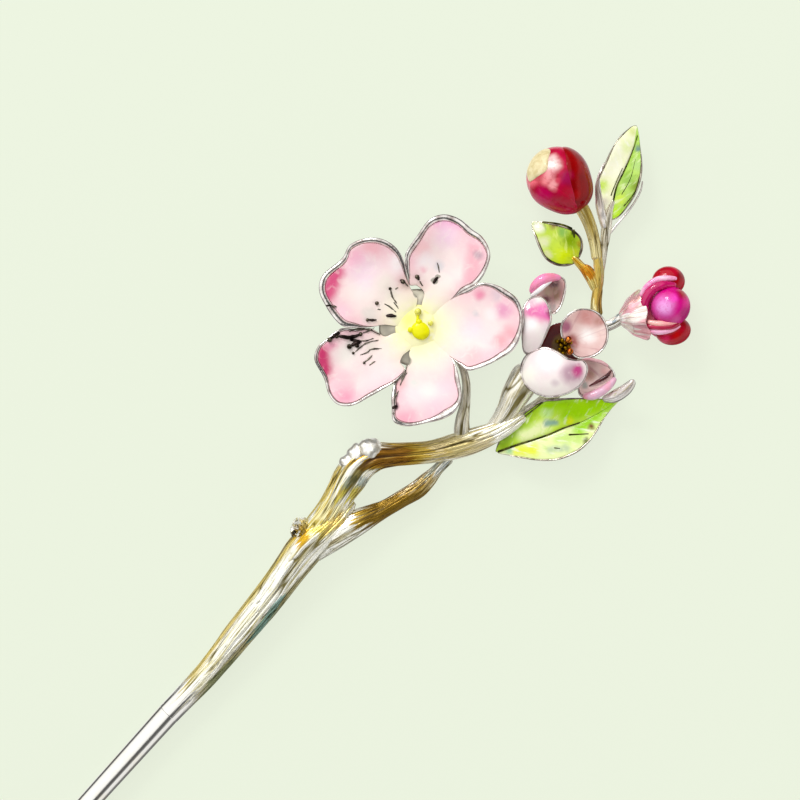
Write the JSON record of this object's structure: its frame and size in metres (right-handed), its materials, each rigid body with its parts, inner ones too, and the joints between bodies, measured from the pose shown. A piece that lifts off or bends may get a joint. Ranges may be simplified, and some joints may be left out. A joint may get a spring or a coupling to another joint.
{
  "type": "decorative hair pin",
  "caption": "Hair stick: a smooth tapered shank that turns into a bark-textured twig carrying enamelled blossoms, buds and leaves.",
  "frame": {"origin": "on the shank's axis, at the middle of its straight length", "axes": "+X along the shank from its point to the tip of the spray, +Z the side that the blossoms face, +Y the side that the open blossom stands on"},
  "size_m": [0.1673, 0.044, 0.0103],
  "materials": {
    "polished_silver": "polished silver-tone metal, smooth, with small dents and hairline scratches",
    "gilt_bark": "silver-tone casting with a worn gold wash, engraved with long bark grooves that hold dark patina",
    "silver_bark": "silver-tone casting with fine grooves and a faint gold wash",
    "silver_rim": "polished silver-tone rolled rims and backs",
    "pale_pink_enamel": "glossy translucent enamel, pale pink to cream, pinker in patches by the rims",
    "rose_enamel": "glossy translucent enamel, rose pink fading to white",
    "cream_enamel": "glossy pale yellow enamel",
    "lemon_enamel": "glossy opaque lemon-yellow enamel",
    "gold_beads": "small polished gold-tone beads and filaments",
    "red_enamel": "deep glossy red enamel",
    "crimson_enamel": "glossy crimson to rose enamel",
    "gilt_cap": "pale gilded metal showing through the enamel",
    "magenta_enamel": "glossy magenta enamel with a pale lilac bloom",
    "leaf_enamel": "glossy translucent lime-green enamel, lighter along the veins"
  },
  "bodies": {
    "root": {"shank_rod": "polished_silver", "bark_stem": "gilt_bark", "cut_stub": "gilt_bark", "upper_branch": "gilt_bark", "branch_knot": "polished_silver", "lower_branch": "gilt_bark", "rear_branch": "gilt_bark", "blossom_stalk": "silver_bark", "half_open_stalk": "silver_bark", "twig_stem": "gilt_bark", "red_bud_stalk": "gilt_bark", "long_leaf_stalk": "silver_bark", "small_leaf_stalk": "gilt_bark", "magenta_bud_stalk": "silver_bark", "blossom_calyx": "polished_silver", "petal_1_tray": "silver_rim", "petal_2_tray": "silver_rim", "petal_3_tray": "silver_rim", "petal_4_tray": "silver_rim", "petal_5_tray": "silver_rim", "petal_1_enamel": "pale_pink_enamel", "petal_2_enamel": "pale_pink_enamel", "petal_3_enamel": "pale_pink_enamel", "petal_4_enamel": "pale_pink_enamel", "petal_5_enamel": "pale_pink_enamel", "blossom_disc": "cream_enamel", "pistil": "lemon_enamel", "stamen_wires": "silver_rim", "anther_beads": "gold_beads", "half_open_calyx": "silver_bark", "back_petal_shell": "silver_rim", "left_petal_shell": "silver_rim", "right_petal_shell": "silver_rim", "front_petal_shell": "silver_rim", "side_petal_shell": "silver_rim", "back_petal_enamel": "rose_enamel", "left_petal_enamel": "rose_enamel", "right_petal_enamel": "rose_enamel", "front_petal_enamel": "rose_enamel", "side_petal_enamel": "rose_enamel", "half_open_stamens": "gold_beads", "half_open_beads": "gold_beads", "red_bud_core": "red_enamel", "red_bud_dark_wrap": "red_enamel", "red_bud_rose_wrap": "crimson_enamel", "red_bud_cap": "gilt_cap", "magenta_bud_calyx": "silver_bark", "magenta_bud_ball": "magenta_enamel", "magenta_bud_upper_petal": "crimson_enamel", "magenta_bud_lower_petal": "crimson_enamel", "big_leaf_frame": "silver_rim", "big_leaf_upper_enamel": "leaf_enamel", "big_leaf_lower_enamel": "leaf_enamel", "long_leaf_frame": "silver_rim", "long_leaf_upper_enamel": "leaf_enamel", "long_leaf_lower_enamel": "leaf_enamel", "small_leaf_frame": "silver_rim", "small_leaf_enamel": "leaf_enamel"}
  },
  "joints": []
}
